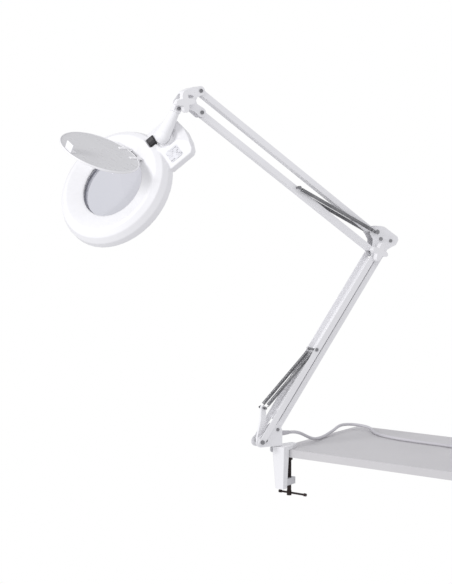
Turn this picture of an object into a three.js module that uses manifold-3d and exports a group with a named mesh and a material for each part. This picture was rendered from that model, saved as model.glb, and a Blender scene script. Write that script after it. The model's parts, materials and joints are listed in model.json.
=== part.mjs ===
// Clamp-on magnifying lamp: two spring-balanced parallel arms, a ring lamp head
// with a round lens, and a hinged lens cover.  Millimetres, +Z up.
// Origin: underside of the clamp's upper jaw, on the table's front edge.
// +X runs along the table edge, +Y runs into the table, the table top is z = 0.
import * as THREE from 'three';
import { mergeVertices } from 'three/addons/utils/BufferGeometryUtils.js';
import Module from 'manifold-3d';

const wasm = await Module();
wasm.setup();

// ---- driving dimensions -------------------------------------------------
const TABLE = 15;                 // thickness of the board in the clamp
const GAP = 0.3;                  // clearance between neighbouring pieces
const SWIVEL = [-7, -10];         // base swivel axis in plan
const ARM_AZIMUTH = 66.8;         // plan direction of the arm plane, from +X
const LOWER_LENGTH = 437;         // lower arm, pivot to pivot
const LOWER_RISE = 53.5;          // lower arm above horizontal
const UPPER_LENGTH = 465;         // upper arm, pivot to pivot
const UPPER_DIRECTION = 146.1;    // upper arm heading in the arm plane
const BASE_PIVOT = [-41.5, 19];   // front channel on the yoke
const LOWER_PAIR = [36.5, 20.5];  // rear channel pivots from the front ones
const UPPER_PAIR = [-2, 38.5];    // top channel pivots from the bottom ones
const LEVER_PIN = [9.6, 62.8];    // spring pin from the front channel's pivot
const LOWER_ANCHOR = [206.6, 2.5]; // spring bolt along and across the channel
const UPPER_ANCHOR = [220, -2.2];
const TILT_PIVOT = [-40, 16.7];   // head tilt pivot from the lower head bolt
const NECK_LENGTH = 69;           // tilt pivot to the head's turning screw
const NECK_SWIVEL = -25;          // neck rolled about its own axis
const HEAD_TURN = 148.7;          // head turned about the paddle screw
const PADDLE_AT = [128, 36];      // paddle centre in the head frame (x, z)
const SWITCH_AT = [105, 13.5];     // rocker switch in the head frame (x, y)
const CHEEK_IN = 8.4;             // half gap between the bracket cheeks
const CHEEK_OUT = 9.9;
const SLIM = 8;                   // half width of the three slim channels
const WIDE = 14;                  // half width of the front lower channel
const WALL = 1.2;                 // channel sheet
const SPRING_R = 3.6;
const RING_R = 114;               // lamp ring outer radius
const LENS_R = 63.5;              // five inch lens
const COVER_OPEN = 60;            // lens cover stands open by this angle
const COVER_AZIMUTH = 11;         // cover hinge round the ring, from the ballast box
const HINGE_R = 67;               // cover hinge line from the ring centre
const HINGE_Z = 31.5;
const COVER_R = 73;
const CORD_R = 3;

const lamp = new THREE.Group();
lamp.name = 'magnifying_lamp';

// ---- solids -------------------------------------------------------------
const rad = THREE.MathUtils.degToRad;

function solid(geometry) {
  const plain = geometry.clone();
  plain.deleteAttribute('normal');
  plain.deleteAttribute('uv');
  const merged = mergeVertices(plain, 1e-4);
  const mesh = new wasm.Mesh({
    numProp: 3,
    vertProperties: new Float32Array(merged.attributes.position.array),
    triVerts: new Uint32Array(merged.index.array),
  });
  return new wasm.Manifold(mesh);
}

function join(...geometries) {
  return unpack(wasm.Manifold.union(geometries.map(solid)));
}

function cut(geometry, ...tools) {
  let body = solid(geometry);
  for (const tool of tools) {
    body = body.subtract(solid(tool));
  }
  return unpack(body);
}

function common(first, second) {
  return unpack(solid(first).intersect(solid(second)));
}

function unpack(manifold) {
  const mesh = manifold.getMesh();
  const geometry = new THREE.BufferGeometry();
  geometry.setAttribute('position', new THREE.Float32BufferAttribute(mesh.vertProperties, 3));
  geometry.setIndex(Array.from(mesh.triVerts));
  return geometry;
}

function block(x0, x1, y0, y1, z0, z1) {
  const box = new THREE.BoxGeometry(x1 - x0, y1 - y0, z1 - z0);
  return box.translate((x0 + x1) / 2, (y0 + y1) / 2, (z0 + z1) / 2);
}

// round bar along Z, standing at (x, y)
function post(radius, z0, z1, x = 0, y = 0, sides = 18) {
  const bar = new THREE.CylinderGeometry(radius, radius, z1 - z0, sides);
  return bar.rotateX(Math.PI / 2).translate(x, y, (z0 + z1) / 2);
}

// round bar along Y, at (x, z)
function axle(radius, y0, y1, x = 0, z = 0, sides = 14) {
  const bar = new THREE.CylinderGeometry(radius, radius, y1 - y0, sides);
  return bar.translate(x, (y0 + y1) / 2, z);
}

// round bar along X, at (y, z)
function shaft(radius, x0, x1, y = 0, z = 0, sides = 16) {
  const bar = new THREE.CylinderGeometry(radius, radius, x1 - x0, sides);
  return bar.rotateZ(Math.PI / 2).translate((x0 + x1) / 2, y, z);
}

// outline in (x, z), thickness from y0 to y1
function plate(points, y0, y1) {
  const outline = new THREE.Shape(points.map(([x, z]) => new THREE.Vector2(x, z)));
  const sheet = new THREE.ExtrudeGeometry(outline, { depth: y1 - y0, bevelEnabled: false });
  return sheet.rotateX(Math.PI / 2).translate(0, y1, 0);
}

// outline in (x, y), thickness from z0 to z1
function slab(points, z0, z1) {
  const outline = new THREE.Shape(points.map(([x, y]) => new THREE.Vector2(x, y)));
  const sheet = new THREE.ExtrudeGeometry(outline, { depth: z1 - z0, bevelEnabled: false });
  return sheet.translate(0, 0, z0);
}

// closed profile of [radius, z] turned about Z
function turned(profile, sides = 48) {
  const points = profile.map(([r, z]) => new THREE.Vector2(r, z));
  points.push(points[0].clone());
  return new THREE.LatheGeometry(points, sides).rotateX(Math.PI / 2);
}

function arc(cx, cz, radius, from, to, steps) {
  const points = [];
  for (let i = 0; i <= steps; i += 1) {
    const a = rad(from + ((to - from) * i) / steps);
    points.push([cx + radius * Math.cos(a), cz + radius * Math.sin(a)]);
  }
  return points;
}

function capsule(x0, x1, radius) {
  return [...arc(x1, 0, radius, -90, 90, 6), ...arc(x0, 0, radius, 90, 270, 6)];
}

const PAINT = { color: 0xf4f3f8, roughness: 0.4, metalness: 0 };
const NYLON = { color: 0xf1f0ee, roughness: 0.5, metalness: 0 };
const COVER = { color: 0xd8d8da, roughness: 0.35, metalness: 0 };
const BLACK = { color: 0x17161a, roughness: 0.35, metalness: 0 };
const STEEL = { color: 0x4a494d, roughness: 0.35, metalness: 0.9 };
const SPRING = { color: 0x36353a, roughness: 0.35, metalness: 0.9 };
const SCREW = { color: 0x322a29, roughness: 0.45, metalness: 0.7 };
const GREY = { color: 0x8f9093, roughness: 0.4, metalness: 0.8 };
const GLASS = { color: 0xc9cbe0, roughness: 0.05, metalness: 0 };
const CORD = { color: 0xdcdbe0, roughness: 0.6, metalness: 0 };

function add(parent, name, geometry, look) {
  const mesh = new THREE.Mesh(geometry, new THREE.MeshStandardMaterial(look));
  mesh.name = name;
  parent.add(mesh);
  return mesh;
}

function frame(parent, x, y, z) {
  const group = new THREE.Group();
  group.position.set(x, y, z);
  parent.add(group);
  return group;
}

// bolt along Y through (x, z), a head at each end
function bolt(x, z, half, radius = 2.5, head = 4.6, thick = 2.6, sides = 6) {
  const heads = [-1, 1].map((side) => {
    const y0 = side < 0 ? -half - thick : half;
    return axle(head, y0, y0 + thick, x, z, sides);
  });
  return join(axle(radius, -half - 0.5, half + 0.5, x, z, 16), ...heads);
}

// ---- clamp --------------------------------------------------------------
function taperedLeg() {
  const top = [[-11, -19], [15, -19], [15, -1], [-15, -1], [-15, -15]];
  const bottom = [[-7, -14], [10, -14], [10, -1], [-9, -1], [-9, -12]];
  const corners = [];
  top.forEach(([x, y]) => corners.push(x, y, 6.5));
  bottom.forEach(([x, y]) => corners.push(x, y, -75));
  const faces = [0, 1, 2, 0, 2, 3, 0, 3, 4, 5, 7, 6, 5, 8, 7, 5, 9, 8];
  for (let i = 0; i < 5; i += 1) {
    const j = (i + 1) % 5;
    faces.push(i, 5 + i, 5 + j, i, 5 + j, j);
  }
  const leg = new THREE.BufferGeometry();
  leg.setAttribute('position', new THREE.Float32BufferAttribute(corners, 3));
  leg.setIndex(faces);
  return leg;
}

const NUT_AT = 21;      // screw axis, into the table
const jaw = slab([[-15, -2], [15, -2], [15, 8], [7, 36], [5, 38], [-5, 38], [-7, 36], [-15, 8]], 0, 6.5);
const clampBody = cut(
  join(taperedLeg(), jaw),
  post(4.8, -24, 8, SWIVEL[0], SWIVEL[1]),
  shaft(2.8, -16, -8, SWIVEL[1], -0.5, 16),
  block(-5.8, 5.8, -9, 0, -71.3, -57.7),
);
add(lamp, 'clamp_body', clampBody, PAINT);

const NUT_BORE = 4.6;   // clears the screw's thread crests
const nut = cut(
  join(block(-5.5, 5.5, -8.7, 2, -71, -58), block(-7.5, 7.5, -0.7, NUT_AT + 10, -71, -58)),
  post(NUT_BORE, -72, -57, 0, NUT_AT, 24),
);
add(lamp, 'clamp_nut', nut, GREY);

const screw = cut(
  join(post(4, -92, -TABLE - 4.3, 0, NUT_AT, 24), post(4.6, -93, -84, 0, NUT_AT, 24)),
  shaft(2.3, -8, 8, NUT_AT, -88, 16),
);
add(lamp, 'clamp_screw', screw, SCREW);

const pad = cut(
  join(post(10, -TABLE - 4, -TABLE, 0, NUT_AT, 32), post(6.5, -TABLE - 9, -TABLE - 3, 0, NUT_AT, 24)),
  post(4.3, -TABLE - 10, -TABLE - 4, 0, NUT_AT, 24),
);
add(lamp, 'screw_pad', pad, SCREW);

const bar = join(
  shaft(2, -20, 36, NUT_AT, -88, 16),
  shaft(3, -23, -18, NUT_AT, -88),
  shaft(3, 34, 39, NUT_AT, -88),
);
add(lamp, 'tommy_bar', bar, SCREW);

const lockScrew = join(
  shaft(2.5, -15.5, SWIVEL[0] - 4.8, SWIVEL[1], -0.5, 16),
  shaft(6.5, -19, -15.3, SWIVEL[1], -0.5),
);
add(lamp, 'lock_screw', lockScrew, GREY);

const washer = cut(post(9, 6.8, 8.3, SWIVEL[0], SWIVEL[1], 24), post(4.8, 6, 9, SWIVEL[0], SWIVEL[1]));
add(lamp, 'swivel_washer', washer, NYLON);

// ---- swivelling base ----------------------------------------------------
const base = frame(lamp, SWIVEL[0], SWIVEL[1], 0);
base.rotation.z = rad(ARM_AZIMUTH);

add(base, 'swivel_pin', post(4.5, -20, 11.2), STEEL);

const YOKE_BOLT = [-31, 20.5];
const REAR_PIVOT = [BASE_PIVOT[0] + LOWER_PAIR[0], BASE_PIVOT[1] + LOWER_PAIR[1]];
const yokeSide = [[-41.5, 8.6], [5.5, 8.6], [5.5, 37], [3, 43], [-5, 49], [-11, 50],
  [-17, 46], ...arc(BASE_PIVOT[0], BASE_PIVOT[1], 10.4, 130, 262, 8)];
const yokeRoom = block(-60, 4, -CHEEK_IN, CHEEK_IN, 10.6, 60);
const yoke = cut(
  plate(yokeSide, -CHEEK_OUT, CHEEK_OUT),
  yokeRoom,
  block(-60, -13, -CHEEK_IN, CHEEK_IN, 0, 60),
  post(4.8, 5, 12),
  axle(2.9, -12, 12, BASE_PIVOT[0], BASE_PIVOT[1]),
  axle(2.4, -12, 12, YOKE_BOLT[0], YOKE_BOLT[1]),
  axle(2.8, -12, 12, REAR_PIVOT[0], REAR_PIVOT[1]),
  block(3, 7, -CHEEK_IN, CHEEK_IN, 38, 60),
  shaft(3.3, 2, 8, 0, 30, 16),
);
add(base, 'base_yoke', yoke, PAINT);

const leverTip = [BASE_PIVOT[0] + LEVER_PIN[0], BASE_PIVOT[1] + LEVER_PIN[1]];
const lever = cut(
  plate([[-46, 14], [-27, 15.5], [-26, 23], [leverTip[0] + 7, 52], [leverTip[0] + 4.6, leverTip[1] + 2],
    [leverTip[0], leverTip[1] + 5], [leverTip[0] - 4.6, leverTip[1] + 2], [leverTip[0] - 5.5, 60],
    [-46, 24]], -2.5, 2.5),
  axle(2.9, -5, 5, BASE_PIVOT[0], BASE_PIVOT[1]),
  axle(2.4, -5, 5, YOKE_BOLT[0], YOKE_BOLT[1]),
  axle(2.3, -5, 5, leverTip[0], leverTip[1]),
);
add(base, 'spring_lever', lever, PAINT);
add(base, 'lever_pin', axle(2, -12.4, 12.4, leverTip[0], leverTip[1], 16), STEEL);
add(base, 'base_front_bolt', bolt(BASE_PIVOT[0], BASE_PIVOT[1], WIDE + GAP, 2.6, 4.2, 3), STEEL);
add(base, 'yoke_bolt', bolt(YOKE_BOLT[0], YOKE_BOLT[1], CHEEK_OUT + GAP, 2.1, 2.9, 1.9, 16), STEEL);
add(base, 'base_rear_bolt', bolt(REAR_PIVOT[0], REAR_PIVOT[1], CHEEK_OUT + GAP, 2.5, 3.1, 1.8, 16), STEEL);
for (const [side, at] of [['near', -11.35], ['far', 11.35]]) {
  const ring = cut(axle(7, at - 1.15, at + 1.15, BASE_PIVOT[0], BASE_PIVOT[1]),
    axle(2.9, at - 3, at + 3, BASE_PIVOT[0], BASE_PIVOT[1]));
  add(base, `base_washer_${side}`, ring, NYLON);
}
const RELIEF_END = 27;            // tapered strain relief, from the yoke's back
const relief = turned([[0, 4.2], [3, 4.2], [3, 5.8], [5.2, 5.8], [5.2, 9], [3.4, RELIEF_END], [0, RELIEF_END]], 20);
add(base, 'cord_grommet', relief.rotateY(Math.PI / 2).translate(0, 0, 30), CORD);

// ---- channels -----------------------------------------------------------
// Folded channel along X; its open side faces +Z (open = 1) or -Z (open = -1).
function channel(length, half, depth, open, bolts, bare) {
  const inside = block(-40, length + 40, -half + WALL, half - WALL,
    open > 0 ? -depth + WALL : -depth - 9, open > 0 ? depth + 9 : depth - WALL);
  const parts = [inside];
  for (const [x0, x1] of bare) {
    parts.push(block(x0, x1, -half + WALL, half - WALL, -depth - 9, depth + 9));
  }
  for (const [x, z, r] of bolts) {
    parts.push(axle(r, -half - 5, half + 5, x, z));
  }
  return cut(plate(capsule(0, length, depth), -half, half), ...parts);
}

const lowerFront = frame(base, BASE_PIVOT[0], 0, BASE_PIVOT[1]);
lowerFront.rotation.y = rad(-LOWER_RISE);
add(lowerFront, 'lower_front_channel', channel(LOWER_LENGTH, WIDE, 6, 1,
  [[0, 0, 2.9], [LOWER_LENGTH, 0, 3.3], [...LOWER_ANCHOR, 2.3]],
  [[-20, 52], [LOWER_LENGTH - 12, LOWER_LENGTH + 20]]), PAINT);
add(lowerFront, 'lower_spring_bolt', bolt(LOWER_ANCHOR[0], LOWER_ANCHOR[1], WIDE + GAP, 2, 3.4, 1.6, 16), STEEL);

const lowerRear = frame(base, REAR_PIVOT[0], 0, REAR_PIVOT[1]);
lowerRear.rotation.y = rad(-LOWER_RISE);
add(lowerRear, 'lower_rear_channel', channel(LOWER_LENGTH, SLIM, 5.5, 1,
  [[0, 0, 2.8], [LOWER_LENGTH, 0, 2.8]], [[-20, 9], [LOWER_LENGTH - 9, LOWER_LENGTH + 20]]), PAINT);

// spring between two points of the arm plane, at one side
function spring(parent, name, from, to, y) {
  const [x0, z0] = from;
  const dx = to[0] - x0;
  const dz = to[1] - z0;
  const length = Math.hypot(dx, dz);
  const coil = shaft(SPRING_R, 3.2, length - 3.2, 0, 0, 14);
  coil.rotateY(-Math.atan2(dz, dx)).translate(x0, y, z0);
  add(parent, name, coil, SPRING);
}

const cosLower = Math.cos(rad(LOWER_RISE));
const sinLower = Math.sin(rad(LOWER_RISE));
const leverX = LEVER_PIN[0] * cosLower + LEVER_PIN[1] * sinLower;
const leverZ = -LEVER_PIN[0] * sinLower + LEVER_PIN[1] * cosLower;
for (const [side, y] of [['near', -8.4], ['far', 8.4]]) {
  spring(lowerFront, `lower_spring_${side}`, [leverX, leverZ], LOWER_ANCHOR, y);
}

// ---- elbow --------------------------------------------------------------
const elbow = frame(base, BASE_PIVOT[0] + LOWER_LENGTH * cosLower, 0, BASE_PIVOT[1] + LOWER_LENGTH * sinLower);
const elbowSide = [...arc(0, 0, 10, 180, 300, 7), [37, 7], [50, 12], [56, 21], [54, 28], [22, 48],
  [12, 50], ...arc(UPPER_PAIR[0], UPPER_PAIR[1], 10.5, 80, 215, 7), [-5, 24], [-6, 14]];
const elbowBracket = cut(
  plate(elbowSide, -CHEEK_OUT, CHEEK_OUT),
  plate([[-30, -20], [80, -20], [80, 8], [54.4, 16], [54.4, 21], [52.6, 27], [21.5, 46.3], [12, 48.4], [8, 48.4],
    [8, 70], [-30, 70]], -CHEEK_IN, CHEEK_IN),
  axle(3.3, -12, 12, 0, 0),
  axle(2.8, -12, 12, LOWER_PAIR[0], LOWER_PAIR[1]),
  axle(2.4, -12, 12, 12.7, 24.5),
  axle(2.8, -12, 12, UPPER_PAIR[0], UPPER_PAIR[1]),
);
add(elbow, 'elbow_bracket', elbowBracket, PAINT);
const elbowBolt = join(axle(3, -25, WIDE + 1, 0, 0), axle(6, WIDE + GAP, WIDE + 3.5, 0, 0, 6));
add(elbow, 'elbow_bolt', elbowBolt, STEEL);
for (const [side, at] of [['near', -11.35], ['far', 11.35]]) {
  add(elbow, `elbow_washer_${side}`, cut(axle(9, at - 1.15, at + 1.15), axle(3.3, at - 3, at + 3)), NYLON);
}
add(elbow, 'elbow_rear_bolt', bolt(LOWER_PAIR[0], LOWER_PAIR[1], CHEEK_OUT + GAP, 2.5, 3.3, 1.8, 16), STEEL);
add(elbow, 'elbow_brace_bolt', bolt(12.7, 24.5, CHEEK_OUT + GAP, 2.1, 3.8, 2.4, 6), STEEL);
add(elbow, 'upper_pivot_bolt', bolt(UPPER_PAIR[0], UPPER_PAIR[1], 18.2, 2.5, 4.8, 2.4, 6), STEEL);

// four-lobed hand knob on a stud along Y; its face looks to -Y
function knob(y0, y1, bore, turn) {
  const outline = [];
  for (let i = 0; i < 32; i += 1) {
    const a = (i / 32) * Math.PI * 2;
    const r = 13.8 + 5.2 * Math.cos(4 * (a - rad(turn)));
    outline.push([r * Math.cos(a), r * Math.sin(a)]);
  }
  return cut(join(plate(outline, y0, y1 - 3), axle(8, y1 - 4, y1)), axle(bore, y0 + 3, y1 + 2));
}
const elbowKnob = frame(elbow, 0, 0, 0);
add(elbowKnob, 'elbow_knob', knob(-28.3, -14.3, 3.3, 68), PAINT);

// ---- upper arm ----------------------------------------------------------
const upperBottom = frame(elbow, 0, 0, 0);
upperBottom.rotation.y = rad(-UPPER_DIRECTION);
add(upperBottom, 'upper_bottom_channel', channel(UPPER_LENGTH, SLIM, 5.25, -1,
  [[0, 0, 3.3], [UPPER_LENGTH, 0, 2.8], [...UPPER_ANCHOR, 2.3]],
  [[-20, 12], [UPPER_LENGTH - 9, UPPER_LENGTH + 20]]), PAINT);
add(upperBottom, 'upper_spring_bolt', bolt(UPPER_ANCHOR[0], UPPER_ANCHOR[1], 18.2, 2, 3.4, 1.6, 16), STEEL);

const upperTop = frame(elbow, UPPER_PAIR[0], 0, UPPER_PAIR[1]);
upperTop.rotation.y = rad(-UPPER_DIRECTION);
add(upperTop, 'upper_top_channel', channel(UPPER_LENGTH, SLIM, 5.25, -1,
  [[0, 0, 2.8], [UPPER_LENGTH, 0, 2.8]], [[-20, 9], [UPPER_LENGTH - 9, UPPER_LENGTH + 20]]), PAINT);

const cosUpper = Math.cos(rad(UPPER_DIRECTION));
const sinUpper = Math.sin(rad(UPPER_DIRECTION));
const anchorX = UPPER_PAIR[0] * cosUpper + UPPER_PAIR[1] * sinUpper;
const anchorZ = -UPPER_PAIR[0] * sinUpper + UPPER_PAIR[1] * cosUpper;
for (const [side, y] of [['near', -14], ['far', 14]]) {
  spring(upperBottom, `upper_spring_${side}`, [anchorX, anchorZ], UPPER_ANCHOR, y);
}

// ---- head bracket -------------------------------------------------------
const headEnd = frame(elbow, UPPER_LENGTH * cosUpper, 0, UPPER_LENGTH * sinUpper);
const headSide = [...arc(0, 0, 8.5, -110, 60, 6), [-10, 15], [-12, 21], [-9, 27],
  ...arc(UPPER_PAIR[0], UPPER_PAIR[1], 8.5, -60, 100, 7),
  [-20, 44], [-36, 37], ...arc(TILT_PIVOT[0], TILT_PIVOT[1], 9, 120, 260, 7), [-16, 2]];
const headBracket = cut(
  plate(headSide, -CHEEK_OUT, CHEEK_OUT),
  plate([[30, -20], [30, 60], [-12, 60], [-12, 42.8], [-19.6, 42.2], [-35, 35.2], [-49, 22], [-70, 22], [-70, -20]],
    -CHEEK_IN, CHEEK_IN),
  plate([[-37.5, 31], [-37.5, 60], [-70, 60], [-70, 10]], -CHEEK_IN, CHEEK_IN),
  axle(2.8, -12, 12, 0, 0),
  axle(2.8, -12, 12, UPPER_PAIR[0], UPPER_PAIR[1]),
  axle(3.3, -12, 12, TILT_PIVOT[0], TILT_PIVOT[1]),
  plate(capsule(-29, -20, 3.2), -12, -CHEEK_IN + 0.5).translate(0, 0, 27),
);
add(headEnd, 'head_bracket', headBracket, PAINT);
add(headEnd, 'head_lower_bolt', bolt(0, 0, CHEEK_OUT + GAP, 2.5, 3.4, 2, 16), STEEL);
add(headEnd, 'head_upper_bolt', bolt(UPPER_PAIR[0], UPPER_PAIR[1], CHEEK_OUT + GAP, 2.5, 3.4, 2, 16), STEEL);

const tilt = frame(headEnd, TILT_PIVOT[0], 0, TILT_PIVOT[1]);
const tiltBolt = join(axle(3, -20.9, CHEEK_OUT + 1, 0, 0), axle(6, CHEEK_OUT + GAP, CHEEK_OUT + 3.5, 0, 0, 6));
add(tilt, 'head_tilt_bolt', tiltBolt, STEEL);
add(tilt, 'head_knob', knob(-24.2, -10.2, 3.3, 7), PAINT);

// ---- neck: X along the stem, Y to the near side -------------------------
const neck = frame(tilt, 0, 0, 0);
const stemAxis = new THREE.Vector3(-0.5, 0, -Math.sqrt(0.75));
const sideAxis = new THREE.Vector3(0, -1, 0);
const crossAxis = new THREE.Vector3().crossVectors(stemAxis, sideAxis);
neck.quaternion.setFromRotationMatrix(new THREE.Matrix4().makeBasis(stemAxis, sideAxis, crossAxis));

const neckLink = cut(
  join(axle(7.5, -7.6, 7.6), block(0, 19.5, -7.6, 7.6, -7, 7), shaft(8.5, 18.6, 21, 0, 0, 24)),
  axle(3.3, -12, 12),
  shaft(3.8, 10, 22, 0, 0, 16),
);
add(neck, 'neck_link', neckLink, PAINT);
add(neck, 'neck_bolt', axle(3.2, 7.9, 10.4, 13, 0, 6), STEEL);

const stemRoll = frame(neck, 0, 0, 0);
stemRoll.rotation.x = rad(NECK_SWIVEL);
const stemTaper = new THREE.CylinderGeometry(14, 8.5, NECK_LENGTH - 21.3, 28)
  .rotateZ(-Math.PI / 2)
  .translate((NECK_LENGTH + 21.3) / 2, 0, 0);
const stemEnd = new THREE.SphereGeometry(14.2, 28, 18).translate(NECK_LENGTH, 0, 0);
const stem = cut(
  join(shaft(3.5, 11, 24, 0, 0, 16), stemTaper, stemEnd),
  block(0, 120, -30, 30, -30, -8.7),
  post(17, -30, -5.5, NECK_LENGTH, 0, 28),
  post(3.4, -9, 6, NECK_LENGTH, 0),
);
add(stemRoll, 'neck_stem', stem, PAINT);
const turnScrew = join(post(3.1, -18, 5.5, NECK_LENGTH, 0, 16), post(6, -19.6, -17, NECK_LENGTH, 0, 20));
add(stemRoll, 'turn_screw', turnScrew, GREY);

// ---- lamp head: origin at the ring centre on the rim plane --------------
const turn = frame(stemRoll, NECK_LENGTH, 0, 0);
turn.rotation.z = rad(HEAD_TURN);
const head = frame(turn, -PADDLE_AT[0], 0, -PADDLE_AT[1]);

const BOX_END = [[92, -49], [150, -49], [156, -44], [162, -26], [165, 0], [162, 26], [156, 44], [150, 49],
  [92, 49]];
const BOX_ROOM = [[90, -47], [149, -47], [154, -43], [160, -25.5], [163, 0], [160, 25.5], [154, 43],
  [149, 47], [90, 47]];
const ringOutside = turned([[61, 0], [RING_R, 0], [RING_R, 3], [113, 14], [107, 26], [97, 33], [92, 33.5],
  [64, 24], [61, 22]]);
const ringInside = turned([[50, -9], [112, -9], [112, 3], [111, 13.5], [105.4, 24.8], [96.4, 31], [92.2, 31.5],
  [64, 22], [50, 17]]);
// The ballast box is a low hip: flat down the middle, falling to the sides and the end.
function hipRoof(drop) {
  const section = [[-60, -20], [-60, 4 - drop], [-13, 27 - drop], [25, 27 - drop], [60, 8 - drop], [60, -20]];
  const across = slab(section, 80, 190)
    .rotateX(Math.PI / 2)
    .rotateZ(Math.PI / 2);
  const along = plate([[80, -20], [190, -20], [190, 2 - drop], [140, 27 - drop], [80, 27 - drop]], -60, 60);
  return common(across, along);
}
const boxOutside = cut(common(slab(BOX_END, -4, 60), hipRoof(0)), post(RING_R - 0.5, -9, 0.5, 0, 0, 48));
const boxInside = cut(common(slab(BOX_ROOM, -9, 60), hipRoof(2.2)), post(RING_R + 0.7, -20, 60, 0, 0, 48));
const px = PADDLE_AT[0];
function recess(radius, floor) {
  return join(post(radius, floor, 60, px, 0, 32), block(px, 190, -radius, radius, floor, 60));
}
const [sx, sy] = SWITCH_AT;
const switchPad = block(sx - 9, sx + 8.4, sy - 12, sy + 12, 18, 28.5);
const boss = post(13, 17, 26.8, px, 0, 32);
const lugs = [-1, 1].map((side) => {
  const lug = join(axle(3.6, -2, 2, 0, 0, 16), block(-3.6, 3.6, -2, 2, -8, 0));
  return lug.translate(HINGE_R, side * 12, HINGE_Z).rotateZ(rad(COVER_AZIMUTH));
});
const outside = join(
  cut(
    join(ringOutside, boxOutside, switchPad),
    block(sx - 8.8, sx + 8.2, sy - 11.8, sy + 11.8, 28.5, 60),
    recess(17.2, 21.5),
    post(34, 26.2, 60, px + 14, 0, 40),
  ),
  boss,
  ...lugs,
);
const inside = cut(
  join(ringInside, boxInside),
  recess(19.2, 19.5),
  block(sx - 11, sx + 10, sy - 14, sy + 14, 26.2, 60),
  post(36, 24, 60, px + 14, 0, 40),
);
const shell = cut(
  outside,
  inside,
  post(3.4, 10, 30, px, 0),
  block(sx - 6.3, sx + 6.3, sy - 9.3, sy + 9.3, 10, 40),
  axle(1.8, -30, 30, HINGE_R, HINGE_Z, 16).rotateZ(rad(COVER_AZIMUTH)),
);
add(head, 'head_shell', shell, PAINT);

add(head, 'turn_washer', cut(post(8.8, 27.1, 30.2, px, 0, 24), post(3.5, 20, 40, px, 0)), NYLON);
add(head, 'ballast', block(120, 146, -34, 22, 1, 14), GREY);
const coverPlate = slab([[116.5, -46.5], [148.6, -46.5], [153.5, -42.6], [159.5, -25], [162.5, 0], [159.5, 25],
  [153.5, 42.6], [148.6, 46.5], [116.5, 46.5]], -3.4, -1.9);
const slots = [];
for (const row of [-1, 1]) {
  for (let i = 0; i < 8; i += 1) {
    const y = -28 + i * 8;
    slots.push(block(134 + row * 9 - 6, 134 + row * 9 + 6, y - 1.4, y + 1.4, -6, 0));
  }
}
add(head, 'ballast_cover', cut(coverPlate, ...slots), PAINT);

const tube = new THREE.TorusGeometry(94, 8, 8, 36);
tube.translate(0, 0, 16);
add(head, 'fluorescent_tube', tube, NYLON);
add(head, 'diffuser_ring', turned([[66, 3.2], [110.5, 3.2], [110.5, 5.2], [66, 5.2]], 40), COVER);

const lensProfile = [];
for (let i = 0; i <= 4; i += 1) {
  lensProfile.push([(LENS_R * i) / 4, 9 + 3.5 * (i / 4) ** 2]);
}
for (let i = 4; i >= 0; i -= 1) {
  lensProfile.push([(LENS_R * i) / 4, 22 - 5.5 * (i / 4) ** 2]);
}
const lens = new THREE.LatheGeometry(lensProfile.map(([r, z]) => new THREE.Vector2(r, z)), 32);
add(head, 'lens', lens.rotateX(Math.PI / 2), GLASS);
const lensRing = turned([[60, 3.2], [65.7, 3.2], [65.7, 18.6], [64.1, 18.6], [64.1, 11.6], [60, 11.6]], 40);
add(head, 'lens_ring', lensRing, PAINT);

const bezel = cut(
  block(sx - 7.6, sx + 7.6, sy - 10.6, sy + 10.6, 28.8, 30),
  block(sx - 5.9, sx + 5.9, sy - 8.9, sy + 8.9, 27, 32),
);
add(head, 'switch_bezel', bezel, BLACK);
const rockerSide = [[-8.4, 22], [8.4, 22], [8.4, 32.4], [0, 30.4], [-8.4, 30.9]];
const rocker = plate(rockerSide, -5.4, 5.4).rotateZ(Math.PI / 2).translate(sx, sy, 0);
add(head, 'rocker_switch', rocker, BLACK);
const labelSlope = Math.atan2(27 - 4, 60 - 13);
const label = block(-12.5, 12.5, -10.5, 10.5, 0.3, 0.7).rotateX(labelSlope);
add(head, 'rating_label', label.translate(125, -33, 27 - 20 * Math.tan(labelSlope)), COVER);

// ---- lens cover: closed it lies along -X from the hinge ----------------
const hinge = frame(head, HINGE_R * Math.cos(rad(COVER_AZIMUTH)), HINGE_R * Math.sin(rad(COVER_AZIMUTH)), HINGE_Z);
hinge.rotation.z = rad(COVER_AZIMUTH);
add(hinge, 'cover_hinge_pin', axle(1.5, -22, 22, 0, 0, 12), STEEL);
const coverGroup = frame(hinge, 0, 0, 0);
coverGroup.rotation.y = rad(COVER_OPEN);
const reach = COVER_R + 5;
const disc = turned([[0, 0.8], [COVER_R - 1.5, 0.8], [COVER_R - 1.5, -0.2], [COVER_R, -0.2], [COVER_R, 3.4],
  [COVER_R - 1.5, 3.4], [COVER_R - 1.5, 2.6], [0, 2.6]], 40).translate(-reach, 0, 0);
const barrels = [-1, 1].map((side) => join(
  axle(3.4, side * 18 - 3.5, side * 18 + 3.5, 0, 0, 20),
  block(-24, 0, side * 18 - 3.5, side * 18 + 3.5, 0.9, 4.2),
));
const tabAt = -2 * reach + 9;
const tab = join(block(tabAt, tabAt + 12, -10, 10, 2.2, 4.2), block(tabAt, tabAt + 2.4, -10, 10, 3, 17));
add(coverGroup, 'lens_cover', cut(join(disc, ...barrels, tab), axle(1.8, -30, 30, 0, 0, 16)), COVER);

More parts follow.
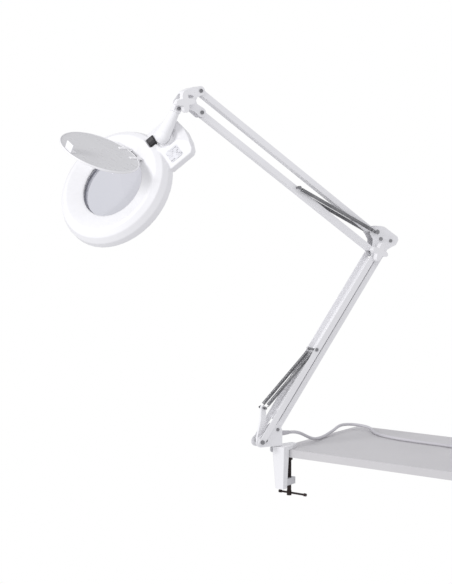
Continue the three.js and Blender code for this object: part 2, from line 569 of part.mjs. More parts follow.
// ---- mains lead ---------------------------------------------------------
// Out of the grommet, down to the table, a low loop, then on to the coil.
const LEAD_EXIT = new THREE.Vector3(RELIEF_END + 0.6, 0, 30)
  .applyAxisAngle(new THREE.Vector3(0, 0, 1), rad(ARM_AZIMUTH))
  .add(new THREE.Vector3(SWIVEL[0], SWIVEL[1], 0));
const route = [
  LEAD_EXIT,
  ...[[7.4, 23.8, 29.6], [9.6, 33, 27.8], [10.3, 45, 24], [9.8, 60, 18], [9, 75, 12], [7.8, 90, 7.2],
    [6, 106, 4.2], [4, 125, 3.3], [1, 145, 3.6], [-2, 165, 5.5], [-5, 188, 8.5], [-8, 206, 11.5],
    [-9, 222, 13], [-7, 239, 12.4], [0, 254, 10.8], [13, 263, 8.8], [28, 264, 7], [42, 256, 5.2],
    [54, 243, 4], [68, 230, 3.4], [90, 218, 3.3], [120, 208, 3.3], [155, 203, 3.3], [190, 201, 3.3],
    [225, 200, 3.3], [260, 197, 3.3], [295, 191.5, 3.3], [330, 184.5, 3.3]].map(([x, y, z]) => new THREE.Vector3(x, y, z)),
];
const lead = new THREE.CatmullRomCurve3(route, false, 'centripetal');
const section = new THREE.Shape(arc(0, 0, CORD_R, 0, 315, 7).map(([x, y]) => new THREE.Vector2(x, y)));
const leadTube = new THREE.ExtrudeGeometry(section, { steps: 44, extrudePath: lead, bevelEnabled: false });
add(lamp, 'mains_lead', leadTube, CORD);

const COIL = [344, 142];
const coil = turned([[20.5, 0.3], [39.5, 0.3], [39.5, 12.4], [20.5, 12.4]], 32);
coil.translate(COIL[0], COIL[1], 0);
add(lamp, 'lead_coil', coil, CORD);

const plugBody = join(block(-13, 24, -8, 8, -8, 8), shaft(4, 23, 36, 0, 0, 16));
const pins = [-5.2, 5.2].map((y) => shaft(2, -32, -12, y, 0, 12));
const plug = join(plugBody, ...pins);
plug.rotateZ(Math.PI / 2).translate(COIL[0] + 42, COIL[1] - 68, 8.3);
add(lamp, 'mains_plug', plug, BLACK);

export default lamp;
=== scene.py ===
"""Looks of the clamp-on magnifying lamp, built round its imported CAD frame."""
import json
import math

import bmesh
import bpy
from mathutils import Matrix, Vector


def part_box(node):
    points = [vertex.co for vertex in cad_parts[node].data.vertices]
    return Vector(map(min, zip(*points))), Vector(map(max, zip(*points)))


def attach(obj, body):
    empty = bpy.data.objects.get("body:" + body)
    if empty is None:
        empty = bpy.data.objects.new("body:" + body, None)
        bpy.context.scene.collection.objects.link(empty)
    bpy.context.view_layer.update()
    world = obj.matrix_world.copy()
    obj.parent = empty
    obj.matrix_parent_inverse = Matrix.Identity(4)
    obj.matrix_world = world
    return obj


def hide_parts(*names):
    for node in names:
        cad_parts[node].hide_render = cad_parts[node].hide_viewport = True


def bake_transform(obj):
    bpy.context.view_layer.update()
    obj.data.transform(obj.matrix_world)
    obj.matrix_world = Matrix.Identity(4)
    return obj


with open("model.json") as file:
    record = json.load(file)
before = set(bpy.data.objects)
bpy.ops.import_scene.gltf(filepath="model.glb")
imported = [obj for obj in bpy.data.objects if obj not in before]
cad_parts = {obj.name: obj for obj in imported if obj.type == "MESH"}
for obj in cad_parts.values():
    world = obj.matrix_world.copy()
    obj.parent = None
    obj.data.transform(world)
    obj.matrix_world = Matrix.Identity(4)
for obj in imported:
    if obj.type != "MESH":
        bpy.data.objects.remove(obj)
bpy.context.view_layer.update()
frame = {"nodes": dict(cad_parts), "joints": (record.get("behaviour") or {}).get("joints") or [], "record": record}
NODES = frame["nodes"]
JOINTS = {joint["name"]: joint for joint in frame["joints"]}
MM = 0.001


def point(*xyz):
    return Vector([value * MM for value in xyz])


# ---- camera ----------------------------------------------------------------
def make_camera():
    data = bpy.data.cameras.new("camera")
    data.lens = 84.3
    data.sensor_width = 36.0
    camera = bpy.data.objects.new("camera", data)
    bpy.context.collection.objects.link(camera)
    place = Vector((1.4528, -2.1217, 0.4983))
    target = Vector((-0.1007, -0.0466, 0.2970))
    camera.location = place
    camera.rotation_euler = (target - place).to_track_quat("-Z", "Y").to_euler()
    bpy.context.scene.camera = camera


make_camera()

# ---- where things are ------------------------------------------------------
SWIVEL = Vector(JOINTS["base_swivel"]["pos_m"])
NEAR = Vector(JOINTS["lower_arm_tilt"]["axis"]).normalized()
UP = Vector((0, 0, 1))
OUT = UP.cross(NEAR).normalized()
LOWER_PIVOT = Vector(JOINTS["lower_arm_tilt"]["pos_m"])
ELBOW = Vector(JOINTS["upper_arm_tilt"]["pos_m"])
HEAD_PIVOT = Vector(JOINTS["head_level"]["pos_m"])
TURN = Vector(JOINTS["head_turn"]["pos_m"])
HEAD_Z = Vector(JOINTS["head_turn"]["axis"]).normalized()
HEAD_X = Vector(JOINTS["rocker_press"]["axis"]).normalized()
HEAD_Y = HEAD_Z.cross(HEAD_X).normalized()
HEAD_ORIGIN = TURN - HEAD_X * 0.128 - HEAD_Z * 0.036


def basis(x, y, z, origin):
    matrix = Matrix((x, y, z)).transposed().to_4x4()
    matrix.translation = origin
    return matrix


HEAD = basis(HEAD_X, HEAD_Y, HEAD_Z, HEAD_ORIGIN)


def arm_point(pivot, across, up, near=0.0):
    return pivot + OUT * across * MM + UP * up * MM + NEAR * near * MM


# ---- materials -------------------------------------------------------------
def shader(name):
    material = bpy.data.materials.new(name)
    material.use_nodes = True
    tree = material.node_tree
    return material, tree, tree.nodes["Principled BSDF"]


def link(tree, source, target):
    tree.links.new(source, target)


def coordinates(tree):
    node = tree.nodes.new("ShaderNodeTexCoord")
    return node.outputs["Object"]


def noise(tree, scale, detail=3.0, rough=0.5):
    node = tree.nodes.new("ShaderNodeTexNoise")
    node.inputs["Scale"].default_value = scale
    node.inputs["Detail"].default_value = detail
    node.inputs["Roughness"].default_value = rough
    link(tree, coordinates(tree), node.inputs["Vector"])
    return node.outputs["Fac"]


def ramp(tree, value, low, high, start=0.35, end=0.65):
    node = tree.nodes.new("ShaderNodeMapRange")
    node.inputs["From Min"].default_value = start
    node.inputs["From Max"].default_value = end
    node.inputs["To Min"].default_value = low
    node.inputs["To Max"].default_value = high
    link(tree, value, node.inputs["Value"])
    return node.outputs["Result"]


def mixed(tree, factor, first, second):
    node = tree.nodes.new("ShaderNodeMix")
    node.data_type = "RGBA"
    node.inputs["A"].default_value = (*first, 1)
    node.inputs["B"].default_value = (*second, 1)
    link(tree, factor, node.inputs["Factor"])
    return node.outputs["Result"]


def bump(tree, shader_node, height, strength, distance):
    node = tree.nodes.new("ShaderNodeBump")
    node.inputs["Strength"].default_value = strength
    node.inputs["Distance"].default_value = distance
    link(tree, height, node.inputs["Height"])
    link(tree, node.outputs["Normal"], shader_node.inputs["Normal"])


def coated(name, color, shade, roughness=(0.3, 0.42), peel=420.0, strength=0.12, coat=0.0):
    """Paint or moulded plastic: slow colour drift, uneven gloss and a fine surface grain."""
    material, tree, principled = shader(name)
    drift = ramp(tree, noise(tree, 9.0), 0.0, 1.0)
    link(tree, mixed(tree, drift, color, shade), principled.inputs["Base Color"])
    gloss = ramp(tree, noise(tree, 60.0), roughness[0], roughness[1])
    link(tree, gloss, principled.inputs["Roughness"])
    principled.inputs["Coat Weight"].default_value = coat
    bump(tree, principled, noise(tree, peel, 2.0), strength, 0.0004)
    return material


def steel(name, color, shade, roughness=(0.28, 0.45), metallic=0.9, grain=900.0):
    """Turned or plated steel with faint rings of tool marks and dull patches."""
    material, tree, principled = shader(name)
    patch = ramp(tree, noise(tree, 45.0, 5.0), 0.0, 1.0)
    link(tree, mixed(tree, patch, color, shade), principled.inputs["Base Color"])
    link(tree, ramp(tree, noise(tree, 130.0), roughness[0], roughness[1]), principled.inputs["Roughness"])
    principled.inputs["Metallic"].default_value = metallic
    bump(tree, principled, noise(tree, grain, 2.0), 0.15, 0.0002)
    return material


def lens_material():
    material, tree, principled = shader("lens_glass")
    tint = ramp(tree, noise(tree, 6.0), 0.0, 1.0)
    link(tree, mixed(tree, tint, (0.93, 0.93, 0.98), (0.90, 0.91, 0.96)), principled.inputs["Base Color"])
    link(tree, ramp(tree, noise(tree, 70.0), 0.0, 0.02), principled.inputs["Roughness"])
    principled.inputs["Transmission Weight"].default_value = 1.0
    principled.inputs["IOR"].default_value = 1.5
    return material


def diffuser_material():
    """Opal plastic pressed with fine radial prisms."""
    material, tree, principled = shader("opal_diffuser")
    separate = tree.nodes.new("ShaderNodeSeparateXYZ")
    mapping = tree.nodes.new("ShaderNodeMapping")
    mapping.vector_type = "TEXTURE"
    mapping.inputs["Location"].default_value = HEAD_ORIGIN
    mapping.inputs["Rotation"].default_value = HEAD.to_euler()
    link(tree, coordinates(tree), mapping.inputs["Vector"])
    link(tree, mapping.outputs["Vector"], separate.inputs["Vector"])
    angle = tree.nodes.new("ShaderNodeMath")
    angle.operation = "ARCTAN2"
    link(tree, separate.outputs["Y"], angle.inputs[0])
    link(tree, separate.outputs["X"], angle.inputs[1])
    ribs = tree.nodes.new("ShaderNodeMath")
    ribs.operation = "MULTIPLY"
    ribs.inputs[1].default_value = 180.0
    link(tree, angle.outputs["Value"], ribs.inputs[0])
    wave = tree.nodes.new("ShaderNodeMath")
    wave.operation = "SINE"
    link(tree, ribs.outputs["Value"], wave.inputs[0])
    bump(tree, principled, wave.outputs["Value"], 0.5, 0.0006)
    tone = ramp(tree, noise(tree, 14.0), 0.0, 1.0)
    link(tree, mixed(tree, tone, (0.86, 0.86, 0.87), (0.80, 0.80, 0.82)), principled.inputs["Base Color"])
    principled.inputs["Roughness"].default_value = 0.35
    principled.inputs["Subsurface Weight"].default_value = 0.2
    principled.inputs["Subsurface Radius"].default_value = (0.01, 0.01, 0.01)
    return material


def label_material():
    """A silver sticker with plain grey bars and boxes, and no words."""
    material, tree, principled = shader("blank_label")
    mapping = tree.nodes.new("ShaderNodeMapping")
    mapping.vector_type = "TEXTURE"
    mapping.inputs["Location"].default_value = HEAD_ORIGIN
    mapping.inputs["Rotation"].default_value = HEAD.to_euler()
    link(tree, coordinates(tree), mapping.inputs["Vector"])
    bricks = tree.nodes.new("ShaderNodeTexBrick")
    bricks.inputs["Color1"].default_value = (0.30, 0.30, 0.33, 1)
    bricks.inputs["Color2"].default_value = (0.74, 0.74, 0.78, 1)
    bricks.inputs["Mortar"].default_value = (0.82, 0.82, 0.85, 1)
    bricks.inputs["Scale"].default_value = 90.0
    bricks.inputs["Mortar Size"].default_value = 0.05
    link(tree, mapping.outputs["Vector"], bricks.inputs["Vector"])
    link(tree, bricks.outputs["Color"], principled.inputs["Base Color"])
    principled.inputs["Roughness"].default_value = 0.4
    return material


PAINT = coated("white_paint", (0.88, 0.877, 0.895), (0.85, 0.847, 0.865), (0.30, 0.40), 240.0, 0.03, 0.25)
NYLON = coated("white_nylon", (0.87, 0.865, 0.88), (0.84, 0.835, 0.85), (0.40, 0.52), 220.0, 0.03)
COVER = coated("cover_plastic", (0.66, 0.66, 0.67), (0.63, 0.63, 0.64), (0.25, 0.35), 160.0, 0.02)
SHEATH = coated("lead_sheath", (0.62, 0.61, 0.64), (0.56, 0.55, 0.58), (0.42, 0.55), 700.0, 0.14)
BLACK = coated("black_plastic", (0.016, 0.015, 0.018), (0.024, 0.022, 0.026), (0.22, 0.36), 520.0, 0.10)
DARK = steel("dark_steel", (0.34, 0.34, 0.35), (0.24, 0.24, 0.25))
SPRING = steel("spring_steel", (0.36, 0.36, 0.37), (0.24, 0.24, 0.25), (0.20, 0.34))
SCREW = steel("blackened_screw", (0.06, 0.045, 0.042), (0.035, 0.028, 0.027), (0.35, 0.55))
GREY = steel("grey_steel", (0.66, 0.66, 0.68), (0.56, 0.56, 0.58), (0.34, 0.5), 0.6)
PIN = steel("nickel_pins", (0.72, 0.70, 0.66), (0.62, 0.60, 0.57), (0.15, 0.28))
TUBE = coated("tube_phosphor", (0.86, 0.86, 0.85), (0.82, 0.82, 0.81), (0.18, 0.28), 200.0, 0.02)
GLASS = lens_material()
OPAL = diffuser_material()
LABEL = label_material()

BY_SLOT = {
    "white_paint": PAINT, "white_plastic": NYLON, "cover_plastic": COVER, "lead_sheath": SHEATH,
    "black_plastic": BLACK, "dark_steel": DARK, "spring_steel": SPRING, "blackened_screw": SCREW,
    "grey_steel": GREY, "lens_glass": GLASS, "tube_glass": TUBE,
}


# ---- mesh helpers ----------------------------------------------------------
def object_from(name, mesh_builder, material, body, smooth=35.0, soften=0.0):
    """A new piece from a bmesh, placed in the row frame and riding on a body."""
    mesh = bpy.data.meshes.new(name)
    mesh_builder.normal_update()
    mesh_builder.to_mesh(mesh)
    mesh_builder.free()
    piece = bpy.data.objects.new(name, mesh)
    bpy.context.collection.objects.link(piece)
    mesh.materials.append(material)
    finish_surface(piece, smooth, soften)
    if body:
        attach(piece, body)
    return piece


def finish_surface(piece, smooth=35.0, soften=0.0):
    for polygon in piece.data.polygons:
        polygon.use_smooth = True
    piece.data.set_sharp_from_angle(angle=math.radians(smooth))
    if soften > 0:
        bevel = piece.modifiers.new("soft_edges", "BEVEL")
        bevel.width = soften * MM
        bevel.segments = 3
        bevel.limit_method = "ANGLE"
        bevel.angle_limit = math.radians(smooth)
        bevel.harden_normals = True


def lathe(builder, profile, matrix, sides=96):
    """Turn a closed profile of (radius, z) in millimetres about the matrix's Z."""
    rings = []
    for radius, z in profile:
        if radius < 1e-6:
            rings.append([builder.verts.new(matrix @ point(0, 0, z))])
            continue
        ring = []
        for i in range(sides):
            a = 2 * math.pi * i / sides
            ring.append(builder.verts.new(matrix @ point(radius * math.cos(a), radius * math.sin(a), z)))
        rings.append(ring)
    for first, second in zip(rings, rings[1:]):
        join_rings(builder, first, second, sides)
    if len(rings[0]) > 1 and len(rings[-1]) > 1:
        join_rings(builder, rings[-1], rings[0], sides)


def join_rings(builder, first, second, sides):
    for i in range(sides):
        j = (i + 1) % sides
        corners = [first[i % len(first)], first[j % len(first)],
                   second[j % len(second)], second[i % len(second)]]
        unique = list(dict.fromkeys(corners))
        if len(unique) > 2:
            builder.faces.new(unique)


def sweep(builder, path, radius, sides=10, taper=None):
    """A round bar along a list of points; taper gives a radius for each point."""
    tangents = []
    for i in range(len(path)):
        ahead = path[min(i + 1, len(path) - 1)]
        behind = path[max(i - 1, 0)]
        tangents.append((ahead - behind).normalized())
    normal = tangents[0].orthogonal().normalized()
    rings = []
    for i, (place, tangent) in enumerate(zip(path, tangents)):
        normal = (normal - tangent * normal.dot(tangent)).normalized()
        side = tangent.cross(normal)
        r = taper[i] if taper else radius
        ring = []
        for k in range(sides):
            a = 2 * math.pi * k / sides
            ring.append(builder.verts.new(place + (normal * math.cos(a) + side * math.sin(a)) * r))
        rings.append(ring)
    for first, second in zip(rings, rings[1:]):
        join_rings(builder, first, second, sides)
    builder.faces.new(list(reversed(rings[0])))
    builder.faces.new(rings[-1])


def smooth_path(points, steps=8):
    """Centripetal Catmull-Rom through the points."""
    padded = [points[0] * 2 - points[1], *points, points[-1] * 2 - points[-2]]
    path = []
    for p0, p1, p2, p3 in zip(padded, padded[1:], padded[2:], padded[3:]):
        t0 = 0.0
        t1 = t0 + max((p1 - p0).length, 1e-9) ** 0.5
        t2 = t1 + max((p2 - p1).length, 1e-9) ** 0.5
        t3 = t2 + max((p3 - p2).length, 1e-9) ** 0.5
        for i in range(steps):
            t = t1 + (t2 - t1) * i / steps
            a1 = p0 * ((t1 - t) / (t1 - t0)) + p1 * ((t - t0) / (t1 - t0))
            a2 = p1 * ((t2 - t) / (t2 - t1)) + p2 * ((t - t1) / (t2 - t1))
            a3 = p2 * ((t3 - t) / (t3 - t2)) + p3 * ((t - t2) / (t3 - t2))
            b1 = a1 * ((t2 - t) / (t2 - t0)) + a2 * ((t - t0) / (t2 - t0))
            b2 = a2 * ((t3 - t) / (t3 - t1)) + a3 * ((t - t1) / (t3 - t1))
            path.append(b1 * ((t2 - t) / (t2 - t1)) + b2 * ((t - t1) / (t2 - t1)))
    path.append(points[-1])
    return path


# ---- mains lead ------------------------------------------------------------
CORD_R = 3.0
RELIEF_END = 27.0
LEAD_EXIT = SWIVEL + OUT * (RELIEF_END + 0.6) * MM + UP * 30 * MM
ROUTE = [LEAD_EXIT] + [point(*p) for p in (
    (7.4, 23.8, 29.6), (9.6, 33, 27.8), (10.3, 45, 24), (9.8, 60, 18), (9, 75, 12), (7.8, 90, 7.2),
    (6, 106, 4.2), (4, 125, 3.3), (1, 145, 3.6), (-2, 165, 5.5), (-5, 188, 8.5), (-8, 206, 11.5),
    (-9, 222, 13), (-7, 239, 12.4), (0, 254, 10.8), (13, 263, 8.8), (28, 264, 7), (42, 256, 5.2),
    (54, 243, 4), (68, 230, 3.4), (90, 218, 3.3), (120, 208, 3.3), (155, 203, 3.3), (190, 201, 3.3),
    (225, 200, 3.3), (260, 197, 3.3), (295, 191.5, 3.3), (330, 184.5, 3.3))]
COIL_AT = (344, 142)
COIL_START = 75
TURN_RADII = (36, 30, 24, 24, 30, 36)
PLUG_AT = (COIL_AT[0] + 42, COIL_AT[1] - 68, 8.3)


def coil_points():
    """Two layers of three turns each, clockwise, the upper one wound back outwards."""
    points = []
    per_turn = 36
    for i in range(len(TURN_RADII) * per_turn + per_turn * COIL_START // 360 + 1):
        turn = min(i // per_turn, len(TURN_RADII) - 1)
        share = i / per_turn - turn
        after = TURN_RADII[min(turn + 1, len(TURN_RADII) - 1)]
        ease = min(max((share - 0.6) / 0.4, 0.0), 1.0)
        radius = TURN_RADII[turn] + (after - TURN_RADII[turn]) * ease
        rise = min(max(i / per_turn - 2.75, 0.0) * 2.2, 1.0)
        angle = math.radians(COIL_START - 360 * i / per_turn)
        points.append(point(COIL_AT[0] + radius * math.cos(angle), COIL_AT[1] + radius * math.sin(angle),
                            3.3 + 5.85 * rise))
    return points


def make_lead():
    tail = [point(381.5, 130, 9.0), point(384.8, 120, 8.6), point(PLUG_AT[0], PLUG_AT[1] + 36.3, PLUG_AT[2])]
    path = smooth_path(ROUTE, 5)[:-1] + smooth_path([ROUTE[-1]] + coil_points() + tail, 2)[1:]
    data = bpy.data.curves.new("lead", "CURVE")
    data.dimensions = "3D"
    data.bevel_depth = CORD_R * MM
    data.bevel_resolution = 4
    spline = data.splines.new("POLY")
    spline.points.add(len(path) - 1)
    for target, place in zip(spline.points, path):
        target.co = (*place, 1)
    data.materials.append(SHEATH)
    lead = bpy.data.objects.new("lead", data)
    bpy.context.collection.objects.link(lead)
    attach(lead, "clamp")
    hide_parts("mains_lead", "lead_coil")
    return lead


def make_tie():
    """A wire tie round the three strands of the coil's two layers."""
    builder = bmesh.new()
    centre = point(COIL_AT[0], COIL_AT[1] - 30, 6.2)
    loop = []
    for i in range(40):
        a = 2 * math.pi * i / 40
        reach = (abs(math.cos(a)) ** 6 + abs(math.sin(a)) ** 6) ** (-1 / 6)
        loop.append(centre + point(0, 9.6 * math.cos(a) * reach, 5.9 * math.sin(a) * reach))
    loop.append(loop[0].copy())
    sweep(builder, loop, 0.9 * MM, 8)
    for side in (-1, 1):
        ear = [centre + point(0, 0, 6.2), centre + point(side * 5, 2, 8.0), centre + point(side * 12, 4, 7.4)]
        sweep(builder, smooth_path(ear, 5), 0.8 * MM, 8)
    tie = object_from("lead_tie", builder, BLACK, "clamp")
    return tie


def rounded_bar(builder, matrix, sections, power=4.0, sides=28):
    """Loft of rounded rectangles along X: sections are (x, half width, half height)."""
    rings = []
    for x, wide, high in sections:
        ring = []
        for k in range(sides):
            a = 2 * math.pi * k / sides
            reach = (abs(math.cos(a)) ** power + abs(math.sin(a)) ** power) ** (-1 / power)
            place = point(x, wide * math.cos(a) * reach, high * math.sin(a) * reach)
            ring.append(builder.verts.new(matrix @ place))
        rings.append(ring)
    for first, second in zip(rings, rings[1:]):
        join_rings(builder, first, second, sides)
    builder.faces.new(list(reversed(rings[0])))
    builder.faces.new(rings[-1])


def make_plug():
    builder = bmesh.new()
    at = Matrix.Translation(point(*PLUG_AT)) @ Matrix.Rotation(math.pi / 2, 4, "Z")
    rounded_bar(builder, at, [(-13, 6.5, 5.8), (-12.4, 7.6, 7.2), (-6, 7.9, 7.7), (-2, 7.2, 6.6),
                              (4, 6.6, 5.6), (10, 7.2, 6.2), (16, 7.0, 6.4), (22, 5.6, 5.4),
                              (24, 4.4, 4.4)], 3.2)
    for i in range(4):
        rounded_bar(builder, at, [(24.6 + i * 2.6, 4.1 - i * 0.15, 4.1 - i * 0.15),
                                  (26.1 + i * 2.6, 4.0 - i * 0.15, 4.0 - i * 0.15)], 2.0, 20)
    rounded_bar(builder, at, [(23.8, 3.4, 3.4), (35.6, 3.25, 3.25)], 2.0, 20)
    body = object_from("plug_body", builder, BLACK, "clamp", 40)
    builder = bmesh.new()
    for side in (-5.2, 5.2):
        line = [at @ point(x, side, 0) for x in (-12.9, -28, -31, -31.8)]
        sweep(builder, line, 2 * MM, 16, [2 * MM, 2 * MM, 1.9 * MM, 1.2 * MM])
    blades = object_from("plug_pins", builder, PIN, "clamp", 40)
    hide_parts("mains_plug")
    return body, blades


def make_strain_relief():
    """Ribbed tapering sleeve where the lead leaves the base, in place of the grommet."""
    builder = bmesh.new()
    at = basis(UP, NEAR, OUT, SWIVEL + UP * 30 * MM)
    profile = [(0, 4.3), (2.9, 4.3), (2.9, 5.9), (5.0, 6.0), (5.2, 6.4), (5.2, 8.4), (5.0, 8.8)]
    ribs = 6
    first_rib = 9.4
    rib_pitch = 2.9
    rib_radius = 4.95
    rib_taper = 0.26
    groove_depth = 0.9
    for i in range(ribs):
        start = first_rib + rib_pitch * i
        high = rib_radius - rib_taper * i
        low = high - groove_depth
        profile += [(low, start - 0.3), (low, start + 0.5), (high, start + 0.8), (high, start + 2.1)]
    profile += [(3.3, RELIEF_END - 0.4), (3.1, RELIEF_END), (0, RELIEF_END)]
    lathe(builder, profile, at, 40)
    body = object_from("strain_relief", builder, SHEATH, "base", 40)
    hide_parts("cord_grommet")


lead = make_lead()
tie = make_tie()
plug, plug_pins = make_plug()
make_strain_relief()


# ---- CAD nodes get their materials and softened edges ----------------------
SOFT = {
    "elbow_knob": 2.6, "head_knob": 2.6, "neck_stem": 1.2, "neck_link": 0.8, "head_shell": 0.9,
    "clamp_body": 1.2, "clamp_nut": 0.8, "lens_cover": 0.4, "screw_pad": 0.6, "rocker_switch": 0.6,
    "switch_bezel": 0.3, "ballast_cover": 0.25, "diffuser_ring": 0.3, "lens_ring": 0.4, "rating_label": 0.1,
    "lower_front_channel": 0.0, "lower_rear_channel": 0.0,
    "upper_bottom_channel": 0.0, "upper_top_channel": 0.0,
}
SLOTS = {part["node"]: part["material_slot"] for part in frame["record"]["subparts"]}


def dress_nodes():
    for name, node in NODES.items():
        material = BY_SLOT[SLOTS[name]]
        if name == "diffuser_ring":
            material = OPAL
        if name == "rating_label":
            material = LABEL
        if not node.material_slots:
            node.data.materials.append(material)
        for entry in node.material_slots:
            entry.material = material
        finish_surface(node, 32.0, SOFT.get(name, 0.35))


dress_nodes()


# ---- springs ---------------------------------------------------------------
def coil_spring(name, start, end, node):
    """Close-wound extension spring with a hook over the pin at each end."""
    axis = (end - start).normalized()
    side = NEAR
    across = axis.cross(side).normalized()
    length = (end - start).length
    outer = 3.6 * MM
    wire = 0.62 * MM
    hook = 9 * MM
    turns = int((length - 2 * hook) / (wire * 2.25))
    mean = outer - wire
    curl = 2.7 * MM
    path = []
    for k in range(10):
        a = math.pi * (k / 10 - 0.9)
        path.append(start - axis * curl * math.cos(a) + across * curl * math.sin(a))
    path.append(start + axis * 5 * MM + across * 1.4 * MM)
    steps = turns * 10
    for i in range(steps + 1):
        a = 2 * math.pi * i / 10
        along = hook - wire + (length - 2 * hook + 2 * wire) * i / steps
        path.append(start + axis * along + across * mean * math.cos(a) + side * mean * math.sin(a))
    path.append(end - axis * 5 * MM - across * 1.4 * MM)
    for k in range(10):
        a = -math.pi * (0.9 - k / 10)
        path.append(end + axis * curl * math.cos(a) - across * curl * math.sin(a))
    builder = bmesh.new()
    sweep(builder, path, wire, 6)
    piece = object_from(name, builder, SPRING, None, 60)
    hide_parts(node)
    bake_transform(piece)
    return piece


def make_springs():
    along = (ELBOW - LOWER_PIVOT).normalized()
    cross = NEAR.cross(along).normalized()
    if cross.z < 0:
        cross = -cross
    lower_pin = arm_point(LOWER_PIVOT, 9.6, 62.8)
    lower_bolt = LOWER_PIVOT + along * 206.6 * MM + cross * 2.5 * MM
    back = (HEAD_PIVOT - ELBOW).normalized()
    upward = back.cross(NEAR).normalized()
    if upward.z < 0:
        upward = -upward
    upper_pin = arm_point(ELBOW, -2, 38.5)
    upper_bolt = ELBOW + back * 220 * MM + upward * 2.2 * MM
    for word, sign in (("near", 1), ("far", -1)):
        shift = NEAR * sign * 8.4 * MM
        coil_spring(f"lower_coil_{word}", lower_pin + shift, lower_bolt + shift,
                    f"lower_spring_{word}")
        shift = NEAR * sign * 14 * MM
        coil_spring(f"upper_coil_{word}", upper_pin + shift, upper_bolt + shift,
                    f"upper_spring_{word}")


make_springs()


# ---- lens, tube, screws ----------------------------------------------------
def make_lens():
    builder = bmesh.new()
    outline = []
    for i in range(13):
        outline.append((63.4 * i / 12, 9 + 3.5 * (i / 12) ** 2))
    for i in range(12, -1, -1):
        outline.append((63.4 * i / 12, 22 - 5.5 * (i / 12) ** 2))
    lathe(builder, outline, HEAD, 128)
    lens = object_from("lens_disc", builder, GLASS, "head", 40)
    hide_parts("lens")


TUBE_GAP = -18.0     # where the tube's ends meet, in degrees round the ring


def make_tube():
    """Circular lamp tube with its base and two end caps."""
    builder = bmesh.new()
    ring = []
    for i in range(97):
        a = math.radians(TUBE_GAP + 8 + 344 * i / 96)
        ring.append(HEAD @ point(94 * math.cos(a), 94 * math.sin(a), 16))
    sweep(builder, ring, 7.6 * MM, 20)
    tube = object_from("lamp_tube", builder, TUBE, "head", 50)
    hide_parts("fluorescent_tube")
    builder = bmesh.new()
    base = []
    for i in range(13):
        a = math.radians(TUBE_GAP - 9 + 18 * i / 12)
        base.append(HEAD @ point(94 * math.cos(a), 94 * math.sin(a), 16))
    sweep(builder, base, 7.9 * MM, 20)
    object_from("tube_base", builder, NYLON, "head", 40, 0.6)


def screw_head(builder, matrix, radius, height):
    """Domed cross-head screw standing on the matrix's XY plane."""
    lathe(builder, [(0, height * 0.55), (radius * 0.18, height * 0.6), (radius * 0.3, height),
                    (radius * 0.6, height * 0.9), (radius * 0.9, height * 0.45), (radius, 0.05),
                    (0, 0.05)], matrix, 24)


SCREW_FACE_Z = 3.1
RIM_SCREW_R = 104
LENS_SCREW_R = 62.8


def make_head_screws():
    builder = bmesh.new()
    flip = Matrix.Rotation(math.pi, 4, "X")
    for i in range(5):
        a = math.radians(36 + 72 * i)
        place = point(RIM_SCREW_R * math.cos(a), RIM_SCREW_R * math.sin(a), SCREW_FACE_Z)
        screw_head(builder, HEAD @ Matrix.Translation(place) @ flip, 3, 1.6)
    for x, y in ((122, -40), (122, 40), (156, 0)):
        screw_head(builder, HEAD @ Matrix.Translation(point(x, y, -3.5)) @ flip, 2.6, 1.3)
    for i in range(4):
        a = math.radians(20 + 90 * i)
        place = point(LENS_SCREW_R * math.cos(a), LENS_SCREW_R * math.sin(a), SCREW_FACE_Z)
        screw_head(builder, HEAD @ Matrix.Translation(place) @ flip, 1.9, 1.0)
    object_from("head_screws", builder, GREY, "head", 40)


def make_clamp_thread():
    """Rolled thread ridge wound round the clamp screw."""
    low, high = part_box("clamp_screw")
    centre = Vector(((low[0] + high[0]) / 2, (low[1] + high[1]) / 2, 0))
    pitch = 1.25
    top = -24.6
    bottom = -83.6
    steps = int((top - bottom) / pitch * 20)
    path = []
    for i in range(steps + 1):
        a = 2 * math.pi * i / 20
        path.append(centre + point(3.92 * math.cos(a), 3.92 * math.sin(a), bottom + pitch * i / 20))
    builder = bmesh.new()
    sweep(builder, path, 0.3 * MM, 6)
    object_from("screw_thread", builder, SCREW, "screw", 80)


# ---- lamp head shell and lens cover ----------------------------------------
def make_shell():
    """The moulded shell: the CAD shell's form with every corner rounded as a moulding's is."""
    source = NODES["head_shell"]
    mesh = source.data.copy()
    mesh.name = "moulded_shell"
    shell = bpy.data.objects.new("moulded_shell", mesh)
    bpy.context.collection.objects.link(shell)
    shell.matrix_world = source.matrix_world.copy()
    shell.modifiers.clear()
    remesh = shell.modifiers.new("remesh", "REMESH")
    remesh.mode = "VOXEL"
    remesh.voxel_size = 0.85 * MM
    relax = shell.modifiers.new("relax", "SMOOTH")
    relax.factor = 0.5
    relax.iterations = 12
    bpy.context.view_layer.objects.active = shell
    bpy.context.view_layer.update()
    baked = bpy.data.meshes.new_from_object(shell.evaluated_get(bpy.context.evaluated_depsgraph_get()))
    shell.modifiers.clear()
    shell.data = baked
    baked.materials.clear()
    baked.materials.append(PAINT)
    for polygon in baked.polygons:
        polygon.use_smooth = True
    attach(shell, "head")
    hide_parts("head_shell")


COVER_OPEN = 60.0
COVER_R = 73.0
REACH = COVER_R + 5
HINGE = Vector(JOINTS["cover_open"]["pos_m"])
HINGE_Y = Vector(JOINTS["cover_open"]["axis"]).normalized()
HINGE_X = HINGE_Y.cross(HEAD_Z).normalized()


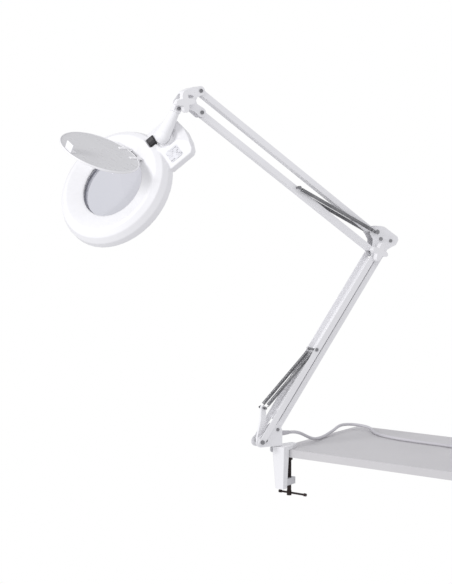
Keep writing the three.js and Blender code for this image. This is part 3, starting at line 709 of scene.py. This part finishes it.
def rounded_block(builder, matrix, low, high, radius=0.7):
    """A block with its edges rounded, from one corner to the other in millimetres."""
    made = bmesh.ops.create_cube(builder, size=1.0)["verts"]
    for vertex in made:
        vertex.co = Vector([low[i] + (vertex.co[i] + 0.5) * (high[i] - low[i]) for i in range(3)])
    edges = list({edge for vertex in made for edge in vertex.link_edges})
    rounded = bmesh.ops.bevel(builder, geom=edges, offset=radius, segments=3, affect="EDGES", profile=0.5)
    touched = {vertex for face in rounded["faces"] for vertex in face.verts}
    touched |= {vertex for vertex in made if vertex.is_valid}
    for vertex in touched:
        vertex.co = matrix @ (vertex.co * MM)


def make_cover():
    """Pale grey disc in a white rim, with hinge arms and a finger tab."""
    turn = math.radians(COVER_OPEN)
    along = HINGE_X * math.cos(turn) - HEAD_Z * math.sin(turn)
    up = HINGE_X * math.sin(turn) + HEAD_Z * math.cos(turn)
    at = basis(along, HINGE_Y, up, HINGE)
    centre = at @ Matrix.Translation(point(-REACH, 0, 0))
    builder = bmesh.new()
    lathe(builder, [(0, 0.8), (COVER_R - 1.6, 0.8), (COVER_R - 1.6, 2.6), (0, 2.6)], centre, 144)
    disc = object_from("cover_disc", builder, COVER, "cover", 40)
    builder = bmesh.new()
    lathe(builder, [(COVER_R - 1.5, 0.2), (COVER_R - 1.2, -0.2), (COVER_R - 0.3, -0.2), (COVER_R, 0.2),
                    (COVER_R, 3.0), (COVER_R - 0.3, 3.4), (COVER_R - 1.2, 3.4), (COVER_R - 1.5, 3.0)],
          centre, 144)
    object_from("cover_rim", builder, NYLON, "cover", 40)
    builder = bmesh.new()
    for side in (-1, 1):
        rounded_block(builder, at, (-24, side * 18 - 3.4, 1.6), (-1.5, side * 18 + 3.4, 4.2))
        barrel = at @ Matrix.Translation(point(0, side * 18, 0)) @ Matrix.Rotation(math.pi / 2, 4, "X")
        lathe(builder, [(1.8, -3.4), (3.1, -3.4), (3.4, -3.1), (3.4, 3.1), (3.1, 3.4), (1.8, 3.4)],
              barrel, 32)
    far = -2 * REACH
    rounded_block(builder, at, (far + 9, -10, 2.2), (far + 21, 10, 4.2))
    rounded_block(builder, at, (far + 9, -10, 3), (far + 11.4, 10, 17))
    object_from("cover_fittings", builder, NYLON, "cover", 40)
    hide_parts("lens_cover")


make_lens()
make_tube()
make_head_screws()
make_clamp_thread()
make_shell()
make_cover()


# ---- stage and light -------------------------------------------------------
def flat_material(name, color, shade, scale):
    material, tree, principled = shader(name)
    drift = ramp(tree, noise(tree, scale), 0.0, 1.0)
    link(tree, mixed(tree, drift, color, shade), principled.inputs["Base Color"])
    principled.inputs["Roughness"].default_value = 0.6
    return material


def stage_box(name, low, high, material):
    builder = bmesh.new()
    bmesh.ops.create_cube(builder, size=1.0)
    for vertex in builder.verts:
        vertex.co = Vector([low[i] + (vertex.co[i] + 0.5) * (high[i] - low[i]) for i in range(3)])
    mesh = bpy.data.meshes.new(name)
    builder.to_mesh(mesh)
    builder.free()
    piece = bpy.data.objects.new(name, mesh)
    bpy.context.collection.objects.link(piece)
    mesh.materials.append(material)
    return piece


def area_light(name, place, target, size, power, tint=(1, 1, 1)):
    data = bpy.data.lights.new(name, "AREA")
    data.shape = "DISK"
    data.size = size
    data.energy = power
    data.color = tint
    lamp = bpy.data.objects.new(name, data)
    bpy.context.collection.objects.link(lamp)
    lamp.location = place
    lamp.rotation_euler = (Vector(target) - Vector(place)).to_track_quat("-Z", "Y").to_euler()


def make_stage():
    board = flat_material("table_board", (0.62, 0.61, 0.62), (0.59, 0.58, 0.59), 5.0)
    stage_box("table", (-0.0155, 0.0, -0.0149), (0.62, 0.30, -0.0002), board)
    world = bpy.data.worlds.new("studio")
    bpy.context.scene.world = world
    world.use_nodes = True
    tree = world.node_tree
    seen = tree.nodes["Background"]
    seen.inputs["Color"].default_value = (1.0, 1.0, 1.0, 1)
    soft = tree.nodes.new("ShaderNodeBackground")
    soft.inputs["Color"].default_value = (0.97, 0.97, 1.0, 1)
    soft.inputs["Strength"].default_value = 0.76
    path = tree.nodes.new("ShaderNodeLightPath")
    choose = tree.nodes.new("ShaderNodeMixShader")
    link(tree, path.outputs["Is Camera Ray"], choose.inputs["Fac"])
    link(tree, soft.outputs["Background"], choose.inputs[1])
    link(tree, seen.outputs["Background"], choose.inputs[2])
    link(tree, choose.outputs["Shader"], tree.nodes["World Output"].inputs["Surface"])
    middle = (-0.05, -0.05, 0.35)
    area_light("key", (-0.7, -2.7, 1.3), middle, 0.9, 32)
    area_light("side", (1.6, -1.6, 1.9), middle, 1.2, 6)
    scene = bpy.context.scene
    scene.view_settings.view_transform = "Standard"
    scene.view_settings.look = "None"


make_stage()
